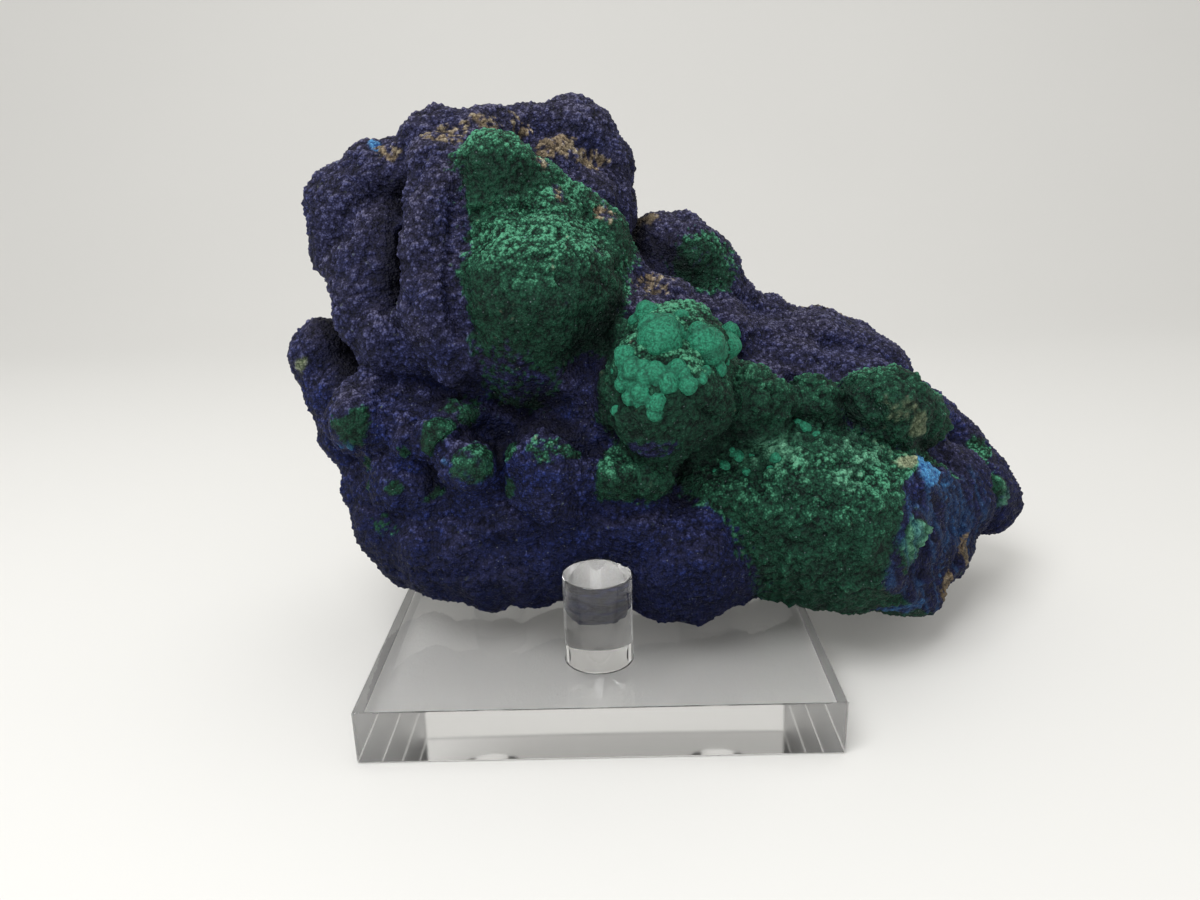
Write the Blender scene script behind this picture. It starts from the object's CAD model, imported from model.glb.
"""Looks of the azurite and malachite specimen on its clear acrylic stand.

Metres, +Z up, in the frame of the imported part: the origin is the middle of the stand's underside and the
front faces -Y. Lumps of the front are written in millimetres as (across, up, back, radius, tall): where the
middle appears on the upright sheet y = 0 for someone who looks from VIEWPOINT, how far behind that sheet it
really lies, its radius on the sheet, and its height against its width. Finer things of the front are written
in pixels of a picture PICTURE_WIDTH wide, and are laid on the surface along the camera's sight lines.
"""

import math

import bmesh
import bpy
import numpy as np
from mathutils import Matrix, Vector, noise
from mathutils.bvhtree import BVHTree


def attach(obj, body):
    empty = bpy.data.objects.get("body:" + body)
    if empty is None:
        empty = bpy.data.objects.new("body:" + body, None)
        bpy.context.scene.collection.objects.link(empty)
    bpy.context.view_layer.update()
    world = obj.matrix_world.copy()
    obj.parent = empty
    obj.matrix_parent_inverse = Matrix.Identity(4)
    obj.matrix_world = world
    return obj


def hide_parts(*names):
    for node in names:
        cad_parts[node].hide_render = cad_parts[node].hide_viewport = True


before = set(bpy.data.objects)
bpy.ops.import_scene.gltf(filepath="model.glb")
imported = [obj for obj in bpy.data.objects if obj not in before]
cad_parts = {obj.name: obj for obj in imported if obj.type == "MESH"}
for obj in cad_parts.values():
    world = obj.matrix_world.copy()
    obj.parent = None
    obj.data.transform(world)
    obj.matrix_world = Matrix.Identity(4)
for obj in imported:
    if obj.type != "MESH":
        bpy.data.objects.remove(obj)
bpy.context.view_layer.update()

MM = 0.001

# Stand
SLAB_SIDE = 100 * MM
SLAB_HEIGHT = 12 * MM
PEG_DIAMETER = 15 * MM
PEG_HEIGHT = 20 * MM
PEG_SIDES = 128
PEG_OFFSET = 30 * MM
PEG_SUNK = 4 * MM
EDGE_BREAK = 0.35 * MM
CLEARANCE = 0.15 * MM
AIR_GAP = 0.2 * MM

# Form of the stone
VIEWPOINT = Vector((4, -205, 116)) * MM
FUSING_VOXEL = 1.8 * MM
SMOOTHING_STEPS = 5
BULGE_SPACING = 9.5 * MM
BULGE_HEIGHT = 1.3 * MM
WAVE_SPACING = 24 * MM
WAVE_HEIGHT = 1.6 * MM
BROKEN_BACK = 44 * MM
BROKEN_RELIEF = 3.2 * MM
BROKEN_SPACING = 25 * MM
CHIP_SPACING = 9 * MM
CHIP_SHARE = 0.3
END_MIDDLE = Vector((73, -2, 27)) * MM
END_FACING = Vector((0.7, -0.7, 0.1)).normalized()
END_DEPTH = 10.6 * MM
END_REACH = 27 * MM
END_FADE = 7 * MM
END_RELIEF = 1.3 * MM

# Grain and small relief of the stone
FINE_LEVELS = 2
OPEN_RAYS = 14
OPEN_REACH = 22 * MM
GRAIN_SPACING = 1.2 * MM
GRAIN_HEIGHT = 0.72 * MM
GRAIN_SHAKE = 0.3 * MM
CLUMP_SPACING = 2.6 * MM
CLUMP_HEIGHT = 0.45 * MM
SWELL_SPACING = 6 * MM
SWELL_HEIGHT = 0.8 * MM
KNOB_SPACING = 2.8 * MM
KNOB_HEIGHT = 1.0 * MM
PALE_SPACING = 3.4 * MM
PALE_HEIGHT = 1.1 * MM
FURROW_SPACING = 2.4 * MM
FURROW_HEIGHT = 0.5 * MM
FURROW_STRETCH = np.array([[0.3, 0, 0.1], [0, 1, 0], [0.1, 0, 1]])
STEP_SPACING = 5 * MM
STEP_HEIGHT = 0.9 * MM
THREAD_SPACING = 1.5 * MM
VEIN_SPACING = 3 * MM
VEIN_STRETCH = np.array([[1, 0, 0.5], [0, 1, 0], [0.2, 0, 0.3]])
SPECK_SPACING = 0.58 * MM
GLINT_SPACING = 1.1 * MM

# Small relief of the pale nodules
NODULE_VOXEL = 0.32 * MM
NODULE_SMOOTHING = 5
DIMPLE_SPACING = 2.6 * MM
DIMPLE_HEIGHT = 0.5 * MM
VELVET_SPACING = 0.9 * MM
VELVET_HEIGHT = 0.22 * MM
BETWEEN_REACH = 0.6 * MM

# Camera
CAMERA_PLACE = Vector((3.65, -205.07, 115.76)) * MM
CAMERA_PITCH = math.radians(17.726)
CAMERA_ROLL = math.radians(-1.652)
CAMERA_YAW = math.radians(0.725)
PICTURE_WIDTH = 1200
FOCAL_PIXELS = 895
SENSOR_WIDTH = 36

AZURITE, MALACHITE, MATRIX = "azurite", "malachite", "matrix"

# Single lumps of the front: name, mineral, area of the surface, lumps
FRONT_LUMPS = [
    ("far upper lobe", AZURITE, "upper", [
        (-54, 105, 12, 9.5, 1.25),
        (-45.5, 114.5, 14, 8.5, 1),
        (-52, 110, 13, 8.5, 1),
        (-55, 98, 10, 7.5, 1),
        (-48, 103, 16, 11, 1),
    ]),
    ("top dome", AZURITE, "upper", [
        (-32, 120, 12, 9, 1),
        (-25, 119.5, 14, 9, 1),
        (-39, 116, 12, 7.5, 1),
    ]),
    ("top right knob", AZURITE, "upper", [
        (-3, 119, 30, 10.3, 1),
        (-12, 121.5, 28, 7.2, 1),
        (3, 115, 28, 7.3, 1),
        (4, 107, 24, 6.3, 1),
        (-14, 113, 24, 9, 1),
        (5, 103, 22, 5, 1),
    ]),
    ("matrix valley", AZURITE, "upper", [
        (-20, 121.5, 18, 6.5, 1),
        (-8, 113, 18, 8, 1),
        (0, 107, 16, 6.5, 1),
        (-28, 112, 12, 10, 1),
    ]),
    ("upper green lobe", MALACHITE, "upper", [
        (-20, 113.5, -2, 9, 1.1),
        (-13.5, 110, 2, 8, 1),
        (-20, 103, -3, 10.5, 1),
        (-11, 101, -1, 10.5, 1),
    ]),
    ("main green ball", MALACHITE, "upper", [
        (-12, 87.5, -9, 18.5, 1),
        (-15, 76, -9, 14, 1),
        (-4, 79, -7, 13, 1),
    ]),
    ("blue lobe under the ball", AZURITE, "front", [
        (-3.5, 66, -12, 8.5, 1),
    ]),
    ("azurite strip", AZURITE, "front", [
        (8, 88, 4, 8, 1),
        (16, 83, 4, 9, 1),
        (10, 76, -4, 12, 1),
    ]),
    ("front ball", MALACHITE, "front", [
        (17, 64.5, -21, 15.5, 1.05),
        (19, 73.5, -18, 13, 1),
        (20, 62, -8, 15, 1),
    ]),
    ("right knob behind", AZURITE, "right", [
        (16, 97, 32, 7.3, 1),
        (21.5, 95.5, 32, 9.3, 1),
        (27, 90, 32, 8, 1),
        (33, 85, 34, 5, 1),
    ]),
    ("right slope", AZURITE, "right", [
        (38, 52, 4, 13, 1),
        (50, 51, 4, 13, 1),
        (62, 50, 4, 13, 1),
        (34, 61, 18, 14, 1),
        (47, 60, 18, 14.5, 1),
        (60, 58, 17, 14, 1),
        (71, 53, 20, 11, 1),
        (26, 73, 22, 13, 1),
        (38, 68, 30, 14.5, 1),
        (51, 67, 33, 15, 1),
        (62, 63, 31, 14, 1),
        (73, 56, 32, 11, 1),
        (38, 74, 42, 12.5, 1),
        (50, 71, 42, 12.5, 1),
        (59, 68, 40, 12, 1),
    ]),
    ("right rim", AZURITE, "right", [
        (72, 60, 38, 8.5, 1),
        (79, 54, 36, 8, 1),
        (85, 48, 34, 8, 1),
        (91, 41, 32, 8, 1),
        (96.5, 35.5, 30, 6, 1),
        (99.5, 32.5, 28, 3.5, 1),
    ]),
    ("right green lobes", MALACHITE, "front", [
        (36.5, 60.5, -10, 9.5, 1),
        (51, 60, -4, 6.5, 1),
        (68.5, 58.5, 0, 10.5, 1),
        (76, 56, 4, 7, 1),
    ]),
    ("broken right end", AZURITE, "right", [
        (83, 36, 14, 12.5, 1),
        (91, 38, 24, 8.5, 1),
        (95, 33, 24, 7, 1),
        (84.5, 24, 10, 9, 1),
        (82, 17, 4, 7.5, 1),
        (79.5, 12, -4, 6.5, 1),
        (88.5, 18, 12, 4.5, 1),
    ]),
    ("far left lobes", AZURITE, "lower", [
        (-62, 76, 14, 8, 1),
        (-59, 66, 10, 8.5, 1),
        (-56, 55, 4, 9, 1),
        (-53, 43, 2, 9.5, 1),
    ]),
    ("lower left lobes", AZURITE, "lower", [
        (-53.5, 60, -6, 10, 1),
        (-46, 57, -8, 9, 1),
        (-38, 56, -14, 7.5, 1),
        (-31, 46.5, -20, 7.3, 1),
        (-27, 62, -8, 8, 1),
        (-44, 45, -6, 12, 1),
    ]),
    ("lower middle ball", AZURITE, "lower", [
        (-9.5, 44, -19, 12.5, 1.05),
    ]),
    ("fold under the balls", AZURITE, "lower", [
        (1.5, 54.5, -15, 7, 1),
        (-16, 58, -9, 6, 1),
    ]),
    ("small green ball", MALACHITE, "lower", [
        (6, 43, -24, 6.5, 1),
        (13.5, 42.5, -24, 6.3, 1),
    ]),
    ("bottom mass", AZURITE, "lower", [
        (8, 35, -15, 14, 1),
        (-50, 36, -2, 11.5, 1),
        (-45, 28.5, -4, 13, 1),
        (-38, 28, -8, 14.5, 1),
        (-28, 27, -10, 15.5, 1),
        (-15, 26, -12, 15, 1),
        (0, 25, -6, 14.5, 1),
        (0, 16, -13.6, 9.6, 1),
        (20, 23.5, -14, 18.7, 1),
        (14, 17, -15, 11, 1),
        (30, 20, -12, 13, 1),
        (32, 28, -9, 17, 1),
        (4, 36, -10, 17, 1),
        (-20, 38, -9, 17, 1),
        (-9, 33, -12, 15, 1),
    ]),
]

# Long lumps of the front: the same, with others filled in between each lump and the next
FRONT_RIDGES = [
    ("long finger", AZURITE, "upper", [
        (-33, 115, 1, 7.5, 1),
        (-34, 106, -5, 7.6, 1),
        (-35, 95, -10, 7.8, 1),
        (-35.5, 85, -13, 8.2, 1),
        (-32, 76, -13, 8.5, 1),
    ]),
    ("left finger", AZURITE, "upper", [
        (-45.5, 102, 4, 6.3, 1),
        (-50, 93, 2, 8.2, 1),
        (-51, 84, 0, 8.6, 1),
        (-46, 78, -3, 9, 1),
        (-38, 73, -5, 8, 1),
    ]),
    ("green shoulder", MALACHITE, "upper", [
        (-8, 106, 6, 7.5, 1),
        (0, 99, 5, 8.5, 1),
        (3.5, 92, 4, 7.5, 1),
    ]),
    ("green barrel", MALACHITE, "front", [
        (26, 40, -14, 9, 1),
        (35, 37, -8, 16, 1),
        (45, 34, -6, 22.5, 1),
        (56, 31.5, -6, 22, 1),
        (67, 29, -4, 20.5, 1),
        (74, 26.5, -2, 19, 1),
    ]),
]
RIDGE_FILL = 4

# The stone's inside and its back, as (x, y, z, radius) in millimetres
BODY_LUMPS = [
    (-34, 16, 50, 20),
    (-9, 19, 51, 22),
    (15, 16, 49, 20),
    (36, 19, 47, 20),
    (57, 14, 42, 19),
    (73, 18, 38, 16),
    (-46, 14, 55, 15),
    (-27, 15, 79, 22),
    (-4, 17, 75, 22),
    (-31, 17, 96, 18),
    (-12, 21, 100, 16),
    (19, 17, 68, 16),
    (-37, 33, 60, 18),
    (-14, 30, 60, 22),
    (11, 35, 62, 17),
    (33, 32, 54, 19),
    (52, 36, 57, 16),
    (70, 30, 45, 14),
    (-48, 27, 74, 15),
    (-29, 33, 84, 15),
    (-9, 31, 88, 19),
    (14, 33, 80, 15),
    (-34, 29, 102, 12),
    (-15, 36, 106, 12),
    (-45, 20, 92, 14),
    (26, 34, 70, 15),
    (84, 34, 42, 9),
    (62, 38, 44, 12),
]

# The surface is parted into these areas, and the back at this x in millimetres
BACK_SPLIT = 10
AREAS = ("upper", "right", "front", "lower", "back_left", "back_right")

# The pale nodules, as (x, y, radius) in pixels of the picture: on the front ball, then on the barrel
PALE_NODULES = [
    (661, 340, 23),
    (655, 329, 16),
    (667, 327, 14),
    (704, 344, 20),
    (707, 352, 16),
    (700, 333, 13),
    (729, 333, 11),
    (732, 346, 10),
    (728, 354, 6),
    (648, 314, 13),
    (636, 321, 8),
    (682, 316, 8),
    (626, 358, 12),
    (634, 371, 12),
    (622, 385, 8.5),
    (643, 366, 9),
    (645, 378, 9),
    (657, 373, 12),
    (667, 382, 11),
    (676, 368, 9.5),
    (689, 384, 10),
    (699, 379, 8),
    (704, 371, 7),
    (684, 375, 8),
    (630, 399, 8),
    (642, 393, 10.5),
    (656, 402, 10),
    (654, 413, 8),
    (617, 411, 6.5),
    (615, 371, 4.5),
    (718, 370, 9),
    (725, 361, 6),
    (675, 434, 2.5),
    (738, 457, 7.5),
    (731, 452, 6),
    (724, 467, 7),
    (714, 472, 4.5),
    (778, 459, 7.5),
    (769, 456, 5),
    (757, 438, 6.5),
    (746, 445, 5.5),
    (805, 429, 7.5),
    (797, 424, 5),
    (780, 442, 6),
    (766, 447, 4.5),
    (817, 437, 5.5),
    (829, 440, 4.5),
    (770, 470, 4.5),
    (752, 455, 4.5),
    (745, 472, 4),
    (790, 452, 4.5),
]
NODULE_SINK = 0.15

# The beds that fill the gaps between nodules, written the same way
PALE_BEDS = [
    (664, 340, 27),
    (703, 348, 25),
    (638, 374, 21),
    (664, 382, 20),
    (691, 376, 16),
    (645, 396, 18),
    (656, 408, 12),
    (727, 346, 14),
]
BED_SINK = 0.82

# Lobes that swell from the surface: (x, y, radius) in pixels of the picture and the height in millimetres
LOBES = [
    (354, 424, 30, 2.8),
    (439, 437, 21, 3.2),
    (476, 468, 27, 3.2),
    (468, 408, 24, 2.0),
    (408, 447, 20, 1.8),
    (385, 492, 24, 1.4),
    (430, 498, 24, 1.2),
    (512, 462, 18, 1.0),
    (375, 540, 34, 1.2),
    (505, 226, 24, 1.6),
    (540, 222, 22, 1.2),
    (590, 195, 22, 1.2),
    (612, 250, 24, 1.2),
    (350, 190, 26, 1.4),
    (372, 168, 20, 1.0),
    (395, 260, 26, 1.2),
    (430, 300, 24, 1.0),
    (640, 478, 20, 1.4),
    (612, 470, 18, 1.4),
    (765, 300, 24, 1.0),
    (810, 325, 28, 1.2),
    (865, 345, 28, 1.2),
    (790, 362, 26, 1.0),
    (850, 412, 26, 1.2),
    (745, 405, 24, 1.4),
    (900, 400, 22, 1.2),
    (760, 440, 22, 1.0),
    (385, 302, 46, 2.4),
    (985, 455, 12, 1.8),
    (975, 440, 10, 1.4),
    (998, 484, 10, 1.4),
    (958, 560, 10, 1.4),
    (955, 590, 10, 1.4),
]

# Creases between the lobes: (places in pixels of the picture, half-width in pixels, depth in millimetres)
CREASES = [
    ([(470, 142), (458, 180), (452, 225), (447, 262), (448, 300), (458, 336)], 9, 1.4),
    ([(462, 214), (500, 209), (536, 209), (566, 220)], 7, 1.4),
    ([(560, 186), (588, 214), (606, 246)], 6, 0.8),
    ([(424, 150), (410, 190), (402, 230), (398, 270), (406, 304)], 9, 1.6),
    ([(386, 380), (420, 386), (452, 394), (490, 404), (527, 415)], 12, 3.2),
    ([(527, 415), (560, 432), (590, 452)], 9, 1.6),
    ([(330, 396), (326, 424), (334, 452), (360, 462), (386, 452), (392, 424)], 7, 1.2),
    ([(412, 420), (410, 446), (424, 466), (446, 470)], 7, 1.4),
    ([(560, 480), (575, 505), (610, 520), (650, 512)], 8, 1.2),
    ([(352, 560), (400, 574), (460, 576), (520, 566)], 9, 1.0),
    ([(500, 440), (496, 470), (504, 500), (525, 520)], 8, 1.4),
    ([(612, 330), (604, 370), (604, 410), (616, 440)], 7, 1.5),
    ([(738, 330), (744, 365), (728, 400)], 7, 1.2),
    ([(700, 408), (730, 432), (690, 452), (655, 456)], 9, 1.5),
    ([(790, 380), (832, 404), (850, 430)], 7, 1.0),
    ([(745, 380), (776, 398), (792, 420)], 7, 1.0),
    ([(700, 450), (745, 425), (800, 420), (860, 436), (905, 450)], 7, 1.2),
    ([(400, 470), (430, 476), (452, 492)], 7, 1.2),
    ([(350, 500), (400, 516), (450, 516), (500, 524)], 9, 1.0),
    ([(640, 290), (690, 296), (745, 300)], 8, 0.8),
]

# Patches of another mineral: (mineral, strength, x, y, radius, tall), in pixels of the picture
PATCHES = [
    (AZURITE, 0.55, 500, 375, 44, 0.9),
    (AZURITE, 0.5, 560, 385, 40, 0.7),
    (AZURITE, 0.95, 585, 385, 26, 1.2),
    (AZURITE, 0.75, 652, 449, 34, 0.4),
    (AZURITE, 1.0, 938, 474, 20, 0.8),
    (AZURITE, 1.0, 938, 510, 16, 1.5),
    (AZURITE, 1.0, 936, 552, 15, 1.6),
    (AZURITE, 1.0, 928, 592, 18, 0.8),
    (AZURITE, 1.0, 896, 607, 26, 0.3),
    (MALACHITE, 1.0, 354, 426, 18, 0.9),
    (MALACHITE, 0.8, 366, 462, 9, 1),
    (MALACHITE, 0.7, 368, 486, 9, 0.8),
    (MALACHITE, 0.7, 396, 488, 11, 0.7),
    (MALACHITE, 0.8, 407, 447, 6, 1),
    (MALACHITE, 1.0, 439, 436, 17, 0.95),
    (MALACHITE, 0.75, 476, 463, 20, 0.8),
    (MALACHITE, 0.7, 466, 410, 22, 0.9),
    (MALACHITE, 0.6, 435, 495, 12, 0.6),
    (MALACHITE, 0.5, 385, 522, 18, 0.5),
    (MALACHITE, 0.8, 512, 453, 13, 0.8),
    (MALACHITE, 0.65, 545, 448, 22, 0.6),
    (MALACHITE, 0.7, 572, 450, 12, 1),
    (MALACHITE, 0.9, 509, 486, 10, 1.2),
    (MALACHITE, 0.85, 706, 264, 42, 0.7),
    (MALACHITE, 1.0, 665, 310, 30, 0.6),
    (MALACHITE, 0.85, 812, 406, 26, 0.7),
    (MALACHITE, 0.9, 976, 452, 14, 1.2),
    (MALACHITE, 0.8, 994, 486, 12, 1.4),
    (MALACHITE, 0.8, 914, 545, 24, 1.4),
    (MALACHITE, 0.6, 960, 566, 8, 1.3),
    (MALACHITE, 0.5, 938, 418, 22, 0.8),
    (MATRIX, 0.65, 448, 134, 26, 0.5),
    (MATRIX, 0.75, 488, 124, 20, 0.6),
    (MATRIX, 0.6, 518, 124, 18, 0.8),
    (MATRIX, 0.9, 557, 146, 26, 0.5),
    (MATRIX, 0.8, 588, 162, 26, 0.6),
    (MATRIX, 0.6, 540, 160, 12, 1),
    (MATRIX, 0.5, 556, 196, 9, 1.6),
    (MATRIX, 0.6, 601, 212, 13, 1),
    (MATRIX, 0.95, 645, 224, 16, 0.6),
    (MATRIX, 0.4, 598, 250, 8, 1.2),
    (MATRIX, 0.5, 650, 285, 26, 0.5),
    (MATRIX, 0.5, 390, 150, 24, 0.4),
    (MATRIX, 0.9, 962, 552, 10, 1.6),
    (MATRIX, 1.0, 947, 586, 13, 1.2),
]

# Patches of a paler or a brighter growth, written the same way
PALE, BRIGHT, CREAM = "pale", "bright", "cream"
TINTS = [
    (BRIGHT, 0.7, 374, 147, 12, 0.6),
    (BRIGHT, 1.0, 930, 469, 22, 0.7),
    (BRIGHT, 0.4, 945, 488, 12, 1.0),
    (BRIGHT, 0.25, 940, 565, 9, 2.4),
    (BRIGHT, 0.4, 905, 607, 28, 0.4),
    (BRIGHT, 0.3, 345, 440, 9, 1),
    (BRIGHT, 0.3, 450, 458, 10, 0.6),
    (CREAM, 0.6, 302, 366, 8, 1.6),
    (PALE, 0.7, 914, 540, 18, 1.4),
    (CREAM, 0.75, 903, 464, 13, 0.7),
    (CREAM, 0.6, 917, 428, 10, 1.5),
    (CREAM, 0.35, 900, 412, 24, 0.7),
    (CREAM, 0.3, 880, 450, 24, 0.5),
    (PALE, 0.45, 870, 452, 34, 0.5),
    (PALE, 0.24, 810, 462, 56, 0.5),
    (PALE, 0.5, 755, 448, 44, 0.5),
    (PALE, 0.35, 845, 482, 26, 0.6),
    (PALE, 0.25, 535, 226, 26, 0.5),
    (PALE, 0.5, 1000, 496, 8, 2),
]


def on_sight_line(lump):
    """The real middle and half-sizes of a lump or patch of the front."""
    across, up, back, radius, tall = lump
    seen = Vector((across, 0, up)) * MM
    spread = (back * MM - VIEWPOINT.y) / (seen.y - VIEWPOINT.y)
    middle = VIEWPOINT + (seen - VIEWPOINT) * spread
    half = radius * MM * spread
    return middle, Vector((half, half, half * tall))


def camera_axes():
    """The directions right, up and forward of the camera."""
    forward = Vector((
        -math.sin(CAMERA_YAW) * math.cos(CAMERA_PITCH),
        math.cos(CAMERA_YAW) * math.cos(CAMERA_PITCH),
        -math.sin(CAMERA_PITCH),
    ))
    level = Vector((math.cos(CAMERA_YAW), math.sin(CAMERA_YAW), 0))
    upright = level.cross(forward)
    right = level * math.cos(CAMERA_ROLL) + upright * math.sin(CAMERA_ROLL)
    up = upright * math.cos(CAMERA_ROLL) - level * math.sin(CAMERA_ROLL)
    return right, up, forward


def seen_on(surface, x, y, radius):
    """The point of a surface that shows at a pixel, the way to it from the camera, and the radius there."""
    right, up, forward = camera_axes()
    sight = (forward + right * ((x - 600) / FOCAL_PIXELS) - up * ((y - 450) / FOCAL_PIXELS)).normalized()
    hit = surface.ray_cast(CAMERA_PLACE, sight)[0]
    if hit is None:
        hit = surface.find_nearest(CAMERA_PLACE + sight * 0.22)[0]
    return hit, sight, radius / FOCAL_PIXELS * (hit - CAMERA_PLACE).dot(forward)


def ridge_lumps(ends):
    """The lumps along a ridge, filled in evenly between its named ones."""
    for first, second in zip(ends, ends[1:]):
        for step in range(RIDGE_FILL):
            share = step / RIDGE_FILL
            yield tuple(a + (b - a) * share for a, b in zip(first, second))
    yield ends[-1]


def all_lumps():
    """Every lump as (mineral, area, middle, half-sizes)."""
    for _, mineral, area, lumps in FRONT_LUMPS:
        for lump in lumps:
            yield (mineral, area, *on_sight_line(lump))
    for _, mineral, area, ends in FRONT_RIDGES:
        for lump in ridge_lumps(ends):
            yield (mineral, area, *on_sight_line(lump))
    for x, y, z, radius in BODY_LUMPS:
        area = "back_left" if x < BACK_SPLIT else "back_right"
        yield AZURITE, area, Vector((x, y, z)) * MM, Vector((radius, radius, radius)) * MM


def mesh_from(shape, name):
    mesh = bpy.data.meshes.new(name)
    shape.to_mesh(mesh)
    shape.free()
    return mesh


def add_object(name, mesh):
    made = bpy.data.objects.new(name, mesh)
    bpy.context.scene.collection.objects.link(made)
    return made


def balls_mesh(balls, subdivisions):
    """Every (middle, half-sizes) as its own ball, all in one mesh."""
    shape = bmesh.new()
    for middle, half in balls:
        place = Matrix.Translation(middle) @ Matrix.Diagonal((*half, 1))
        bmesh.ops.create_icosphere(shape, subdivisions=subdivisions, radius=1, matrix=place)
    return mesh_from(shape, "balls")


def with_modifiers_applied(thing):
    graph = bpy.context.evaluated_depsgraph_get()
    mesh = bpy.data.meshes.new_from_object(thing.evaluated_get(graph))
    thing.modifiers.clear()
    thing.data = mesh
    return mesh


def fused(name, mesh, voxel, smoothing):
    """The balls of a mesh grown into one surface."""
    made = add_object(name, mesh)
    fuse = made.modifiers.new("fuse", "REMESH")
    fuse.mode = "VOXEL"
    fuse.voxel_size = voxel
    soften = made.modifiers.new("soften", "SMOOTH")
    soften.factor = 0.5
    soften.iterations = smoothing
    with_modifiers_applied(made)
    return made


def bulges(point):
    """Rounded bulges side by side: from 0.5 at the middle of each to -0.5 in the grooves between them."""
    nearest = noise.voronoi(point / BULGE_SPACING)[0][0]
    return 0.5 - min(1.0, 1.6 * nearest * nearest)


def chips(point, spacing):
    """Flat chips that each lie at their own depth and tilt their own way."""
    centre = noise.voronoi(point / spacing)[1][0]
    tilt = noise.noise_vector(centre * 3.1)
    return noise.noise(centre * 1.7) + 1.4 * tilt.dot(point / spacing - centre)


def broken(point):
    """Large chips with small ones on them, as on a face where the rock broke."""
    return chips(point, BROKEN_SPACING) + CHIP_SHARE * chips(point, CHIP_SPACING)


def shape_surface(mesh):
    """Raises the bulges and waves of the grown surface, and breaks off the back and the right end."""
    mesh.update()
    normals = [vertex.normal.copy() for vertex in mesh.vertices]
    for vertex, normal in zip(mesh.vertices, normals):
        point = vertex.co.copy()
        wave = noise.noise(point / WAVE_SPACING)
        vertex.co = point + normal * (BULGE_HEIGHT * bulges(point) + WAVE_HEIGHT * wave)
        beyond = vertex.co.y - BROKEN_BACK - BROKEN_RELIEF * broken(point)
        if beyond > 0:
            vertex.co.y -= 0.85 * beyond
        out = vertex.co - END_MIDDLE
        beyond = out.dot(END_FACING) - END_DEPTH - END_RELIEF * chips(point, CHIP_SPACING)
        if beyond > 0 and out.length < END_REACH:
            fade = min(1, (END_REACH - out.length) / END_FADE)
            vertex.co -= END_FACING * (0.9 * fade * beyond)


def keep_outer_shell(mesh):
    """Deletes any closed pocket left inside the stone: only the largest connected surface stays."""
    shape = bmesh.new()
    shape.from_mesh(mesh)
    unseen = set(shape.verts)
    shells = []
    while unseen:
        shell = [unseen.pop()]
        for vertex in shell:
            for edge in vertex.link_edges:
                other = edge.other_vert(vertex)
                if other in unseen:
                    unseen.remove(other)
                    shell.append(other)
        shells.append(shell)
    shells.sort(key=len)
    for shell in shells[:-1]:
        bmesh.ops.delete(shape, geom=shell, context="VERTS")
    shape.to_mesh(mesh)
    shape.free()


def scattered(cells, seed):
    """A fixed random number from 0 to 1 for each whole-number cell."""
    mixed = cells[:, 0] * 73856093 ^ cells[:, 1] * 19349663 ^ cells[:, 2] * 83492791 ^ seed * 668265263
    mixed = (mixed ^ (mixed >> 13)) * 1274126177 & 0x7FFFFFFF
    mixed = (mixed ^ (mixed >> 15)) * 374761393 & 0x7FFFFFFF
    return ((mixed >> 7) / (1 << 24)).astype(np.float32)


def grains(points, spacing, seed):
    """Distance to the nearest of many scattered middles, in spacings, and that middle's random number."""
    scaled = points / spacing
    base = np.floor(scaled).astype(np.int64)
    local = (scaled - base).astype(np.float32)
    nearest = np.full(len(points), 9, np.float32)
    own = np.zeros(len(points), np.float32)
    for offset in np.ndindex(3, 3, 3):
        step = np.array(offset) - 1
        cell = base + step
        apart = np.zeros(len(points), np.float32)
        for axis in range(3):
            apart += (step[axis] + scattered(cell, seed + axis) - local[:, axis]) ** 2
        closer = apart < nearest
        nearest[closer] = apart[closer]
        own[closer] = scattered(cell[closer], seed + 3)
    return np.sqrt(nearest), own


def cloud(points, spacing, seed):
    """Smooth noise from -1 to 1."""
    scaled = points / spacing
    base = np.floor(scaled).astype(np.int64)
    share = (scaled - base).astype(np.float32)
    share = share * share * (3 - 2 * share)
    total = np.zeros(len(points), np.float32)
    for corner in np.ndindex(2, 2, 2):
        weight = np.ones(len(points), np.float32)
        for axis in range(3):
            weight *= share[:, axis] if corner[axis] else 1 - share[:, axis]
        total += weight * scattered(base + np.array(corner), seed)
    return 2 * total - 1


def ball_distance(points, middle, half):
    """About how far each point lies outside a ball-like lump."""
    return (np.linalg.norm((points - np.array(middle)) / np.array(half), axis=1) - 1) * np.mean(half)


def step_up(value, low, high):
    share = np.clip((value - low) / (high - low), 0, 1)
    return share * share * (3 - 2 * share)


def face_normals(points, quads):
    first = points[quads[:, 2]] - points[quads[:, 0]]
    second = points[quads[:, 3]] - points[quads[:, 1]]
    return np.cross(first, second)


def point_normals(points, quads):
    total = np.zeros_like(points)
    across = face_normals(points, quads)
    for corner in range(4):
        for axis in range(3):
            total[:, axis] += np.bincount(quads[:, corner], across[:, axis], len(points))
    return total / np.maximum(np.linalg.norm(total, axis=1, keepdims=True), 1e-20)


def mesh_arrays(mesh):
    points = np.empty(len(mesh.vertices) * 3, np.float32)
    mesh.vertices.foreach_get("co", points)
    corners = np.empty(len(mesh.loops), np.int32)
    mesh.loops.foreach_get("vertex_index", corners)
    return points.reshape(-1, 3).astype(np.float64), corners.reshape(-1, 4)


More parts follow.
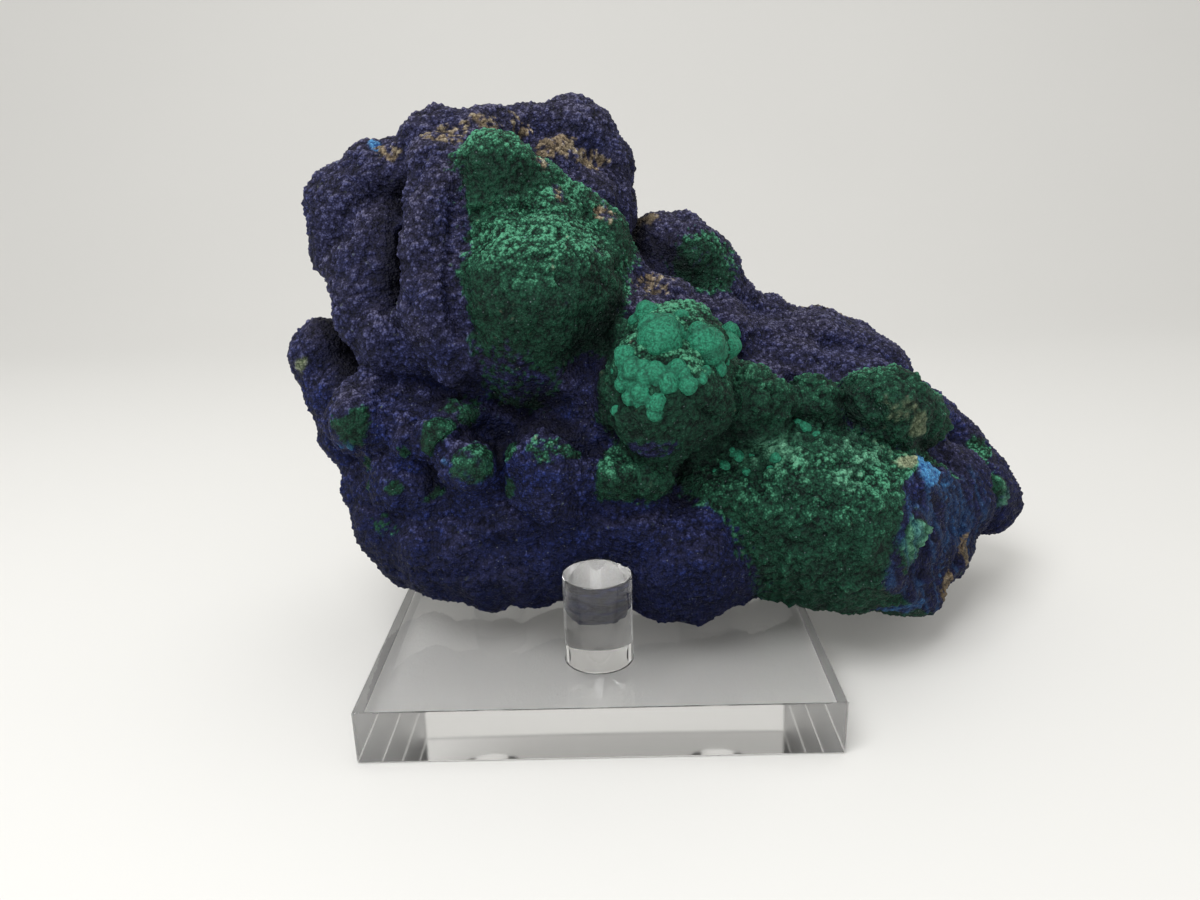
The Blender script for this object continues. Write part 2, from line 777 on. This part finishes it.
def mineral_shares(points):
    """How much of each mineral and which area of the surface each point has, from the lump it lies on."""
    warp = np.stack([cloud(points, 5 * MM, seed) for seed in (11, 12, 13)], 1)
    warped = points + 1.6 * MM * warp
    blend = 0.9 * MM
    green = np.zeros(len(points))
    total = np.zeros(len(points))
    nearest = np.full(len(points), 1.0)
    area_of = np.zeros(len(points), np.int32)
    for mineral, area, middle, half in all_lumps():
        apart = ball_distance(warped, middle, half)
        weight = np.exp(-np.clip(apart, -20 * MM, 20 * MM) / blend)
        total += weight
        if mineral == MALACHITE:
            green += weight
        closer = apart < nearest
        nearest[closer] = apart[closer]
        area_of[closer] = AREAS.index(area)
    return green / total, area_of, warped


def patched(points, shares, patches, surface):
    """Lays each patch over the shares, strongest in its middle."""
    for kind, strength, x, y, radius, tall in patches:
        middle, _, wide = seen_on(surface, x, y, radius)
        out = (points - np.array(middle)) / np.array((wide, wide * max(1, tall), wide * tall))
        cover = strength * step_up(1.3 - np.linalg.norm(out, axis=1), 0, 0.7)
        for name in shares:
            shares[name] = shares[name] * (1 - cover) + (cover if name == kind else 0)
    return shares


def swelled(points, surface):
    """How far each lobe raises the points near it."""
    height = np.zeros(len(points))
    for x, y, radius, rise in LOBES:
        middle, _, reach = seen_on(surface, x, y, radius)
        apart = np.linalg.norm(points - np.array(middle), axis=1) / reach
        height += rise * MM * np.clip(1 - apart ** 2, 0, 1) ** 0.8
    return height


def creased(points, surface):
    """How deep the creases cut in at each point."""
    depth = np.zeros(len(points))
    for places, half_width, deepest in CREASES:
        for (x0, y0), (x1, y1) in zip(places, places[1:]):
            for share in np.linspace(0, 1, 8):
                x = x0 + (x1 - x0) * share
                y = y0 + (y1 - y0) * share
                middle, _, reach = seen_on(surface, x, y, half_width)
                near = np.flatnonzero((np.abs(points - np.array(middle)) < reach).all(1))
                apart = np.linalg.norm(points[near] - np.array(middle), axis=1) / reach
                cut = deepest * MM * np.clip(1 - apart, 0, 1) ** 1.5
                depth[near] = np.maximum(depth[near], cut)
    return depth


def open_shares(mesh, surface):
    """How open each vertex lies: 1 on a bare bulge, near 0 deep in a crease."""
    golden = math.pi * (3 - math.sqrt(5))
    spread = []
    for step in range(OPEN_RAYS):
        height = math.sqrt((step + 0.5) / OPEN_RAYS)
        around = math.sqrt(1 - height * height)
        spread.append(Vector((around * math.cos(step * golden), around * math.sin(step * golden), height)))
    shares = []
    for vertex in mesh.vertices:
        turn = vertex.normal.to_track_quat("Z", "Y")
        start = vertex.co + vertex.normal * 0.5 * MM
        free = sum(surface.ray_cast(start, turn @ ray, OPEN_REACH)[0] is None for ray in spread)
        shares.append(free / OPEN_RAYS)
    return shares


def keep_off_stand(points):
    """Moves any grain that would touch the slab or a peg just clear of it."""
    top = SLAB_HEIGHT + CLEARANCE
    over_slab = (np.abs(points[:, :2]) < SLAB_SIDE / 2 + CLEARANCE).all(1)
    points[:, 2] = np.where(over_slab & (points[:, 2] < top), top, points[:, 2])
    for peg in peg_places():
        out = points[:, :2] - np.array(peg)[:2]
        apart = np.linalg.norm(out, axis=1)
        reach = PEG_DIAMETER / 2 + CLEARANCE
        inside = (apart < reach) & (points[:, 2] < SLAB_HEIGHT + PEG_HEIGHT + CLEARANCE)
        lift = SLAB_HEIGHT + PEG_HEIGHT + CLEARANCE - points[:, 2]
        push = reach - apart
        raised = inside & (lift < push)
        pushed = inside & ~raised
        points[raised, 2] += lift[raised]
        points[pushed, :2] += (out / np.maximum(apart, 1e-9)[:, None] * push[:, None])[pushed]
    return points


def peg_places():
    """The foot of each peg: one in front and two behind."""
    return (
        Vector((0, -PEG_OFFSET, SLAB_HEIGHT)),
        Vector((-PEG_OFFSET, PEG_OFFSET, SLAB_HEIGHT)),
        Vector((PEG_OFFSET, PEG_OFFSET, SLAB_HEIGHT)),
    )


def piece_of(name, points, quads, normals, chosen, attributes):
    """A new object from the chosen faces of the whole surface."""
    faces = quads[chosen]
    used, index = np.unique(faces, return_inverse=True)
    mesh = bpy.data.meshes.new(name)
    mesh.vertices.add(len(used))
    mesh.vertices.foreach_set("co", points[used].astype(np.float32).ravel())
    mesh.loops.add(faces.size)
    mesh.loops.foreach_set("vertex_index", index.ravel().astype(np.int32))
    mesh.polygons.add(len(faces))
    mesh.polygons.foreach_set("loop_start", np.arange(0, faces.size, 4, dtype=np.int32))
    mesh.polygons.foreach_set("use_smooth", np.ones(len(faces), bool))
    mesh.update(calc_edges=True)
    for attribute, values in attributes.items():
        layer = mesh.attributes.new(attribute, "FLOAT", "POINT")
        layer.data.foreach_set("value", values[used].astype(np.float32))
    mesh.normals_split_custom_set_from_vertices(normals[used].astype(np.float32).tolist())
    return add_object(name, mesh)


class Graph:
    """A material's node tree, with one short call for each kind of node that is used here."""

    def __init__(self, name):
        self.material = bpy.data.materials.new(name)
        self.material.use_nodes = True
        self.tree = self.material.node_tree
        self.shader = self.tree.nodes["Principled BSDF"]

    def node(self, kind, **settings):
        made = self.tree.nodes.new(kind)
        for name, value in settings.items():
            setattr(made, name, value)
        return made

    def put(self, socket, value):
        if isinstance(value, bpy.types.NodeSocket):
            self.tree.links.new(value, socket)
        elif isinstance(value, tuple) and len(value) == 3 and socket.type == "RGBA":
            socket.default_value = (*value, 1)
        else:
            socket.default_value = value

    def attribute(self, name):
        return self.node("ShaderNodeAttribute", attribute_name=name).outputs["Fac"]

    def place(self):
        return self.node("ShaderNodeTexCoord").outputs["Object"]

    def math(self, operation, first, second=0.0, clamp=False):
        made = self.node("ShaderNodeMath", operation=operation, use_clamp=clamp)
        self.put(made.inputs[0], first)
        self.put(made.inputs[1], second)
        return made.outputs[0]

    def plus(self, first, second):
        return self.math("ADD", first, second)

    def times(self, first, second):
        return self.math("MULTIPLY", first, second)

    def mix(self, share, first, second):
        made = self.node("ShaderNodeMix", data_type="RGBA")
        self.put(made.inputs["Factor"], share)
        self.put(made.inputs["A"], first)
        self.put(made.inputs["B"], second)
        return made.outputs["Result"]

    def ramp(self, value, *stops):
        made = self.node("ShaderNodeValToRGB")
        elements = made.color_ramp.elements
        while len(elements) < len(stops):
            elements.new(0.5)
        for element, (place, colour) in zip(elements, stops):
            element.position = place
            element.color = (*colour, 1)
        self.put(made.inputs[0], value)
        return made.outputs["Color"]

    def noise(self, size, detail=2.0, roughness=0.5):
        made = self.node("ShaderNodeTexNoise")
        self.put(made.inputs["Vector"], self.place())
        self.put(made.inputs["Scale"], 1 / size)
        self.put(made.inputs["Detail"], detail)
        self.put(made.inputs["Roughness"], roughness)
        return made.outputs["Fac"]

    def cells(self, size):
        """The distance to the middle of the nearest grain, about 0 to 1."""
        made = self.node("ShaderNodeTexVoronoi", feature="F1")
        self.put(made.inputs["Vector"], self.place())
        self.put(made.inputs["Scale"], 1 / size)
        return made.outputs["Distance"]

    def glints(self, size):
        """Small spots at the middles of a few grains here and there."""
        made = self.node("ShaderNodeTexVoronoi", feature="F1")
        self.put(made.inputs["Vector"], self.place())
        self.put(made.inputs["Scale"], 1 / size)
        few = self.math("GREATER_THAN", made.outputs["Color"], 0.72)
        return self.times(few, self.math("LESS_THAN", made.outputs["Distance"], 0.14))

    def bump(self, height, distance):
        made = self.node("ShaderNodeBump")
        self.put(made.inputs["Height"], height)
        self.put(made.inputs["Distance"], distance)
        self.put(made.inputs["Strength"], 1.0)
        return made.outputs["Normal"]


def stone_material():
    """Velvety crystals of azurite, malachite and matrix, dark in the gaps and lighter at the tips."""
    graph = Graph("azurite_and_malachite")
    fine = graph.noise(0.45 * MM, 3, 0.6)
    speck = graph.math("SUBTRACT", 1.0, graph.cells(SPECK_SPACING))
    light = graph.plus(graph.times(graph.attribute("tip"), 0.68), graph.times(speck, 0.6))
    light = graph.plus(light, graph.times(fine, 0.45))
    light = graph.math("SUBTRACT", light, 0.5, clamp=True)
    light = graph.times(light, graph.attribute("shade"))
    deep = graph.ramp(
        light,
        (0.0, (0.002, 0.003, 0.014)),
        (0.45, (0.006, 0.010, 0.052)),
        (1.0, (0.028, 0.05, 0.24)),
    )
    hazy = graph.ramp(
        light,
        (0.0, (0.004, 0.004, 0.010)),
        (0.45, (0.027, 0.026, 0.060)),
        (1.0, (0.185, 0.18, 0.29)),
    )
    azurite = graph.mix(graph.attribute("haze"), deep, hazy)
    malachite = graph.ramp(
        light,
        (0.0, (0.0015, 0.008, 0.006)),
        (0.45, (0.011, 0.064, 0.036)),
        (1.0, (0.09, 0.34, 0.20)),
    )
    matrix = graph.ramp(
        light,
        (0.0, (0.045, 0.034, 0.023)),
        (0.5, (0.22, 0.18, 0.12)),
        (1.0, (0.56, 0.50, 0.38)),
    )
    rust = graph.ramp(light, (0.0, (0.03, 0.018, 0.010)), (1.0, (0.34, 0.22, 0.12)))
    patchy = graph.ramp(graph.noise(5 * MM, 4, 0.6), (0.42, (0, 0, 0)), (0.62, (0.45, 0.45, 0.45)))
    matrix = graph.mix(patchy, matrix, rust)
    pale = graph.ramp(light, (0.0, (0.012, 0.075, 0.045)), (1.0, (0.19, 0.48, 0.31)))
    cream = graph.ramp(light, (0.0, (0.06, 0.085, 0.045)), (1.0, (0.46, 0.50, 0.32)))
    bright = graph.ramp(light, (0.0, (0.01, 0.05, 0.20)), (1.0, (0.12, 0.42, 0.75)))
    colour = graph.mix(graph.attribute("malachite"), azurite, malachite)
    colour = graph.mix(graph.attribute("pale"), colour, pale)
    colour = graph.mix(graph.attribute("cream"), colour, cream)
    colour = graph.mix(graph.attribute("bright"), colour, bright)
    colour = graph.mix(graph.attribute("matrix"), colour, matrix)
    colour = graph.mix(graph.times(graph.glints(GLINT_SPACING), 0.22), colour, (0.36, 0.40, 0.46))
    colour = graph.mix(graph.times(graph.attribute("hollow"), 0.65), colour, (0.002, 0.002, 0.004))
    graph.put(graph.shader.inputs["Base Color"], colour)
    rough = graph.plus(graph.times(fine, 0.3), 0.42)
    graph.put(graph.shader.inputs["Roughness"], rough)
    graph.put(graph.shader.inputs["Specular IOR Level"], 0.14)
    relief = graph.plus(speck, graph.times(fine, 0.8))
    graph.put(graph.shader.inputs["Normal"], graph.bump(relief, 0.45 * MM))
    return graph.material


def nodule_material():
    """The pale mint malachite of the round nodules."""
    graph = Graph("pale_malachite")
    gaps = graph.times(graph.cells(0.5 * MM), 0.35)
    fine = graph.plus(graph.math("SUBTRACT", graph.noise(0.8 * MM, 4, 0.65), gaps), 0.17)
    broad = graph.noise(4 * MM, 2)
    colour = graph.ramp(fine, (0.3, (0.003, 0.058, 0.032)), (0.7, (0.027, 0.27, 0.155)))
    colour = graph.mix(graph.times(broad, 0.4), colour, (0.022, 0.19, 0.11))
    colour = graph.mix(graph.times(graph.attribute("between"), 0.55), colour, (0.004, 0.03, 0.02))
    graph.put(graph.shader.inputs["Base Color"], colour)
    graph.put(graph.shader.inputs["Roughness"], 0.7)
    graph.put(graph.shader.inputs["Specular IOR Level"], 0.25)
    graph.put(graph.shader.inputs["Normal"], graph.bump(fine, 0.5 * MM))
    return graph.material


def acrylic_material(name, low, high):
    """Clear acrylic with a roughness that wanders from low to high."""
    graph = Graph(name)
    rough = graph.plus(low, graph.times(graph.noise(9 * MM, 2), high - low))
    graph.put(graph.shader.inputs["Base Color"], (0.99, 0.99, 0.99))
    graph.put(graph.shader.inputs["Roughness"], rough)
    graph.put(graph.shader.inputs["Transmission Weight"], 1.0)
    graph.put(graph.shader.inputs["IOR"], 1.49)
    return graph.material


def coarse_stone():
    """The grown and broken form of the stone, before its grain."""
    balls = [(middle, half) for _, _, middle, half in all_lumps()]
    stone = fused("stone", balls_mesh(balls, 3), FUSING_VOXEL, SMOOTHING_STEPS)
    keep_outer_shell(stone.data)
    shape_surface(stone.data)
    return stone


def sight_surface(mesh):
    """The surface of a mesh, for sight lines and rays to be laid on."""
    places = [vertex.co.copy() for vertex in mesh.vertices]
    faces = [tuple(face.vertices) for face in mesh.polygons]
    return BVHTree.FromPolygons(places, faces)


def fine_arrays(stone, surface):
    """Points and faces fine enough to carry the grain, and how open each point lies. Uses the object up."""
    layer = stone.data.attributes.new("open", "FLOAT", "POINT")
    layer.data.foreach_set("value", open_shares(stone.data, surface))
    finer = stone.modifiers.new("finer", "SUBSURF")
    finer.levels = FINE_LEVELS
    with_modifiers_applied(stone)
    points, quads = mesh_arrays(stone.data)
    openness = np.empty(len(points), np.float32)
    stone.data.attributes["open"].data.foreach_get("value", openness)
    bpy.data.objects.remove(stone)
    return points, quads, openness


def broken_end(points):
    """1 on the broken face of the right end and 0 elsewhere."""
    out = points - np.array(END_MIDDLE)
    share = step_up(out @ np.array(END_FACING), END_DEPTH - 2 * MM, END_DEPTH - 0.5 * MM)
    return share * step_up(-np.linalg.norm(out, axis=1), -END_REACH, -END_REACH + 2 * MM)


def growths(points, end, surface):
    """The share of each mineral, the strength of each tint and the area of the surface, at each point."""
    green, area_of, warped = mineral_shares(points)
    shares = {
        AZURITE: np.maximum(1 - green, end),
        MALACHITE: green * (1 - end),
        MATRIX: np.zeros(len(points)),
    }
    shares = patched(warped, shares, PATCHES, surface)
    tints = {kind: np.zeros(len(points)) for kind in (PALE, BRIGHT, CREAM)}
    tints = patched(warped, tints, TINTS, surface)
    return shares, tints, area_of


def dressed(points, quads, openness, surface):
    """The points with all their relief, their normals, what the material reads there, and their areas."""
    normals = point_normals(points, quads)
    end = broken_end(points)
    shares, tints, area_of = growths(points, end, surface)
    back = step_up(points[:, 1], BROKEN_BACK - 5 * MM, BROKEN_BACK - 1 * MM)
    front = step_up(-points[:, 1], -6 * MM, 4 * MM)
    barrel = shares[MALACHITE] * step_up(points[:, 0], 22 * MM, 36 * MM) * front

    # Grains, their clumps, the wider swell, and the knobs of the barrel
    shaken = points + GRAIN_SHAKE * np.stack([cloud(points, 0.9 * MM, seed) for seed in (21, 22, 23)], 1)
    apart, own = grains(shaken, GRAIN_SPACING, 31)
    peak = np.clip(1 - apart / 0.85, 0, 1)
    clump = cloud(points, CLUMP_SPACING, 51)
    swell = cloud(points, SWELL_SPACING, 52)
    knobs = np.clip(1 - grains(shaken, KNOB_SPACING, 81)[0] / 0.8, 0, 1)

    # Minerals and tints, mixed grain by grain where they meet
    dither = 0.5 * (own - 0.5) + 0.3 * cloud(points, 0.7 * MM, 53)
    malachite = step_up(shares[MALACHITE] + dither, 0.42, 0.58)
    threads = 1 - 2.2 * np.abs(cloud(points, THREAD_SPACING, 55))
    rock = back * (0.95 + 0.45 * cloud(points, 9 * MM, 41))
    matrix = np.maximum(shares[MATRIX] * (0.75 + 0.45 * threads), rock)
    matrix = step_up(matrix + dither, 0.42, 0.62)
    pale = step_up(tints[PALE] * (0.5 + 0.9 * knobs) + 0.5 * dither, 0.2, 0.8)
    cream = step_up(tints[CREAM] + 0.5 * dither, 0.2, 0.8)
    along_end = (points - np.array(END_MIDDLE)) @ VEIN_STRETCH
    veins = np.clip(1 - 3 * np.abs(cloud(along_end, VEIN_SPACING, 56)), 0, 1)
    bright = step_up(tints[BRIGHT] + 0.5 * dither, 0.2, 0.8)
    bright = np.maximum(bright, 0.22 * end * veins)

    # How light the grains are: most where they are open and face up, and malachite less evenly than azurite
    tip = np.clip(1.1 * peak * (0.75 + 0.5 * own) + 0.18 * clump, 0, 1)
    bare = np.clip(1.2 * openness, 0.2, 1) ** 1.9
    blue_light = 0.96 + 0.24 * step_up(normals[:, 2], -0.5, 0.9)
    blue_light -= 0.32 * step_up(-points[:, 2], -55 * MM, -25 * MM)
    ridge = barrel * step_up(points[:, 2], 50 * MM, 56 * MM)
    green_light = 0.52 + 0.33 * barrel + (1.25 - 0.75 * ridge) * step_up(normals[:, 2], 0, 1)
    shade = bare * (blue_light + (green_light - blue_light) * malachite)
    shade *= 1 - 0.45 * barrel * (1 - knobs) * (1 - 0.7 * pale)

    # Relief
    height = GRAIN_HEIGHT * peak * (0.6 + 0.8 * own) + CLUMP_HEIGHT * clump + SWELL_HEIGHT * swell
    steps = grains(points, STEP_SPACING, 91)[1] - 0.5
    height += KNOB_HEIGHT * knobs * barrel + STEP_HEIGHT * back * steps
    furrows = cloud(points @ FURROW_STRETCH, FURROW_SPACING, 54)
    pale_knobs = np.clip(0.9 - grains(points, PALE_SPACING, 71)[0], 0, 1)
    height += FURROW_HEIGHT * furrows * barrel + PALE_HEIGHT * pale * barrel * pale_knobs
    height += swelled(points, surface) - creased(points, surface)
    points = keep_off_stand(points + normals * height[:, None])
    normals = point_normals(points, quads)

    # A greyer bloom on what lies high or faces up
    haze = 0.5 * step_up(points[:, 2], 50 * MM, 90 * MM) + 0.5 * step_up(normals[:, 2], 0.1, 0.9)
    haze = np.clip(haze + 0.28 * swell, 0, 1)
    values = {
        "malachite": malachite,
        "matrix": matrix,
        "pale": pale,
        "bright": bright,
        "tip": tip,
        "haze": haze,
        "cream": cream,
        "shade": shade,
        "hollow": 1 - bare,
    }
    return points, normals, values, area_of


def build_stone():
    """The whole surface of the stone, as one piece for each area of it."""
    stone = coarse_stone()
    surface = sight_surface(stone.data)
    points, quads, openness = fine_arrays(stone, surface)
    points, normals, values, area_of = dressed(points, quads, openness, surface)
    material = stone_material()
    owner = area_of[quads[:, 0]]
    pieces = []
    for number, area in enumerate(AREAS):
        piece = piece_of("stone_" + area, points, quads, normals, owner == number, values)
        piece.data.materials.append(material)
        pieces.append(piece)
    return pieces, surface


def build_pale_nodules(surface):
    """The round nodules that stand on the front ball and the barrel."""
    balls = []
    for table, sink in ((PALE_NODULES, NODULE_SINK), (PALE_BEDS, BED_SINK)):
        for x, y, radius in table:
            hit, sight, reach = seen_on(surface, x, y, radius)
            balls.append((hit + sight * reach * sink, Vector((reach, reach, reach))))
    made = fused("pale_nodules", balls_mesh(balls, 3), NODULE_VOXEL, NODULE_SMOOTHING)
    made.data.shade_smooth()
    places, faces = mesh_arrays(made.data)
    out = point_normals(places, faces)
    height = DIMPLE_HEIGHT * cloud(places, DIMPLE_SPACING, 61)
    height += VELVET_HEIGHT * cloud(places, VELVET_SPACING, 62)
    made.data.vertices.foreach_set("co", (places + out * height[:, None]).astype(np.float32).ravel())
    apart = np.sort([ball_distance(places, middle, half) for middle, half in balls], axis=0)
    between = 1 - step_up(apart[1] - apart[0], 0, BETWEEN_REACH)
    layer = made.data.attributes.new("between", "FLOAT", "POINT")
    layer.data.foreach_set("value", between.astype(np.float32))
    made.data.update()
    made.data.materials.append(nodule_material())
    return made


def build_stand():
    """The slab and its pegs, welded into one clear piece."""
    half = SLAB_SIDE / 2
    shape = bmesh.new()
    middle = Matrix.Translation((0, 0, SLAB_HEIGHT / 2))
    size = Matrix.Diagonal((SLAB_SIDE, SLAB_SIDE, SLAB_HEIGHT, 1))
    bmesh.ops.create_cube(shape, size=1, matrix=middle @ size)
    stand = add_object("clear_stand", mesh_from(shape, "clear_stand"))
    pegs = []
    for foot in peg_places():
        shape = bmesh.new()
        bmesh.ops.create_cone(
            shape,
            cap_ends=True,
            segments=PEG_SIDES,
            radius1=PEG_DIAMETER / 2,
            radius2=PEG_DIAMETER / 2,
            depth=PEG_HEIGHT + PEG_SUNK,
            matrix=Matrix.Translation(foot + Vector((0, 0, (PEG_HEIGHT - PEG_SUNK) / 2))),
        )
        peg = add_object("peg", mesh_from(shape, "peg"))
        weld = stand.modifiers.new("weld", "BOOLEAN")
        weld.operation = "UNION"
        weld.object = peg
        pegs.append(peg)
    with_modifiers_applied(stand)
    stand.data.shade_smooth()
    bevel = stand.modifiers.new("edge break", "BEVEL")
    bevel.width = EDGE_BREAK
    bevel.segments = 2
    bevel.limit_method = "ANGLE"
    bevel.angle_limit = math.radians(50)
    bevel.harden_normals = True
    with_modifiers_applied(stand)
    for peg in pegs:
        bpy.data.objects.remove(peg)
    stand.data.materials.clear()
    stand.data.materials.append(acrylic_material("polished_acrylic", 0.0, 0.02))
    stand.data.materials.append(acrylic_material("soft_acrylic_front", 0.06, 0.12))
    stand.data.materials.append(acrylic_material("satin_acrylic_side", 0.45, 0.6))
    for face in stand.data.polygons:
        if abs(face.normal.z) < 0.9 and abs(face.center.y) > half - 2 * EDGE_BREAK:
            face.material_index = 1
        if abs(face.normal.z) < 0.9 and abs(face.center.x) > half - 2 * EDGE_BREAK:
            face.material_index = 2
    return stand


def backdrop():
    """A pale table that curves up into a pale wall."""
    graph = Graph("pale_backdrop")
    tone = graph.ramp(graph.noise(0.4, 2), (0.3, (0.755, 0.75, 0.73)), (0.7, (0.775, 0.77, 0.75)))
    graph.put(graph.shader.inputs["Base Color"], tone)
    graph.put(graph.shader.inputs["Roughness"], 0.6)
    width, front, back, bend, top = 3.0, -1.0, 0.9, 0.5, 2.0
    outline = [(front, -AIR_GAP), (back - bend, -AIR_GAP)]
    for step in range(1, 17):
        angle = math.pi / 2 * step / 16
        outline.append((back - bend + bend * math.sin(angle), bend - bend * math.cos(angle) - AIR_GAP))
    outline.append((back, top))
    shape = bmesh.new()
    left = [shape.verts.new((-width / 2, y, z)) for y, z in outline]
    right = [shape.verts.new((width / 2, y, z)) for y, z in outline]
    for row in range(len(outline) - 1):
        shape.faces.new((left[row], right[row], right[row + 1], left[row + 1]))
    made = add_object("backdrop", mesh_from(shape, "backdrop"))
    made.data.shade_smooth()
    made.data.materials.append(graph.material)


def area_light(name, place, target, size, power):
    lamp = bpy.data.lights.new(name, "AREA")
    lamp.shape = "SQUARE"
    lamp.size = size
    lamp.energy = power
    made = bpy.data.objects.new(name, lamp)
    made.location = place
    made.rotation_euler = (Vector(target) - Vector(place)).to_track_quat("-Z", "Y").to_euler()
    bpy.context.scene.collection.objects.link(made)


def light_scene():
    """Soft studio light, mostly from above."""
    world = bpy.data.worlds.new("studio")
    world.use_nodes = True
    world.node_tree.nodes["Background"].inputs["Color"].default_value = (1.0, 0.99, 0.965, 1)
    world.node_tree.nodes["Background"].inputs["Strength"].default_value = 0.68
    bpy.context.scene.world = world
    area_light("key_light", (-0.22, -0.32, 0.66), (0, 0, 0.06), 0.4, 3.4)
    area_light("top_light", (0.1, 0.15, 0.7), (0, 0, 0.05), 0.4, 0.6)
    area_light("front_light", (0.1, -0.95, 0.3), (0, 0, 0.03), 0.6, 1.6)


def camera():
    right, up, forward = camera_axes()
    data = bpy.data.cameras.new("camera")
    data.sensor_width = SENSOR_WIDTH
    data.lens = FOCAL_PIXELS / PICTURE_WIDTH * SENSOR_WIDTH
    data.clip_start = 0.01
    made = bpy.data.objects.new("camera", data)
    turn = Matrix((right, up, -forward)).transposed().to_4x4()
    made.matrix_world = Matrix.Translation(CAMERA_PLACE) @ turn
    bpy.context.scene.collection.objects.link(made)
    bpy.context.scene.camera = made


camera()
light_scene()
backdrop()
bpy.context.scene.view_settings.view_transform = "Standard"

stone_pieces, stone_surface = build_stone()
stone_pieces.append(build_pale_nodules(stone_surface))
for stone_piece in stone_pieces:
    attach(stone_piece, "root")
    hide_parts("azurite_specimen")

clear_stand = build_stand()
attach(clear_stand, "root")
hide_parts("stand_base", "front_peg", "back_peg_left", "back_peg_right")
